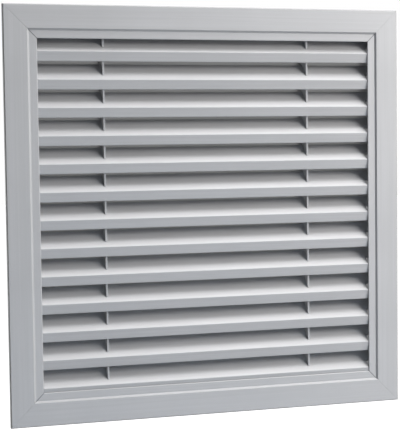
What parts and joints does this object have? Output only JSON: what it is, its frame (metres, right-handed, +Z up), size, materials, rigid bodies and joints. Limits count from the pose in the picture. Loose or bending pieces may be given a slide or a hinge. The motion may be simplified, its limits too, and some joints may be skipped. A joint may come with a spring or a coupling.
{
  "type": "ventilation grille",
  "caption": "Square fixed-blade ventilation grille with a mitred stepped flange, sloping blades with front nosings, and a neck that goes into a wall opening.",
  "frame": {"origin": "middle of the wall plane, which is the plane of the feet behind the flange, on the neck's axis", "axes": "+X along the blades, to the right as seen from the front; +Y into the wall; +Z up"},
  "size_m": [0.5, 0.048, 0.5],
  "materials": {
    "frame_coat": "light grey satin powder coat on aluminium",
    "blade_coat": "light grey satin powder coat on aluminium",
    "support_coat": "light grey satin powder coat on aluminium",
    "key_metal": "bare mill aluminium",
    "screw_zinc": "zinc-plated steel",
    "rivet_metal": "bare aluminium"
  },
  "bodies": {
    "root": {"frame_bottom": "frame_coat", "frame_right": "frame_coat", "frame_top": "frame_coat", "frame_left": "frame_coat", "blade_01": "blade_coat", "blade_02": "blade_coat", "blade_03": "blade_coat", "blade_04": "blade_coat", "blade_05": "blade_coat", "blade_06": "blade_coat", "blade_07": "blade_coat", "blade_08": "blade_coat", "blade_09": "blade_coat", "blade_10": "blade_coat", "blade_11": "blade_coat", "blade_12": "blade_coat", "blade_13": "blade_coat", "support_1": "support_coat", "support_2": "support_coat", "corner_key_1": "key_metal", "corner_key_2": "key_metal", "corner_key_3": "key_metal", "corner_key_4": "key_metal", "blade_screws_left": "screw_zinc", "blade_screws_right": "screw_zinc", "support_rivets": "rivet_metal", "key_grub_screws": "screw_zinc"}
  },
  "joints": []
}
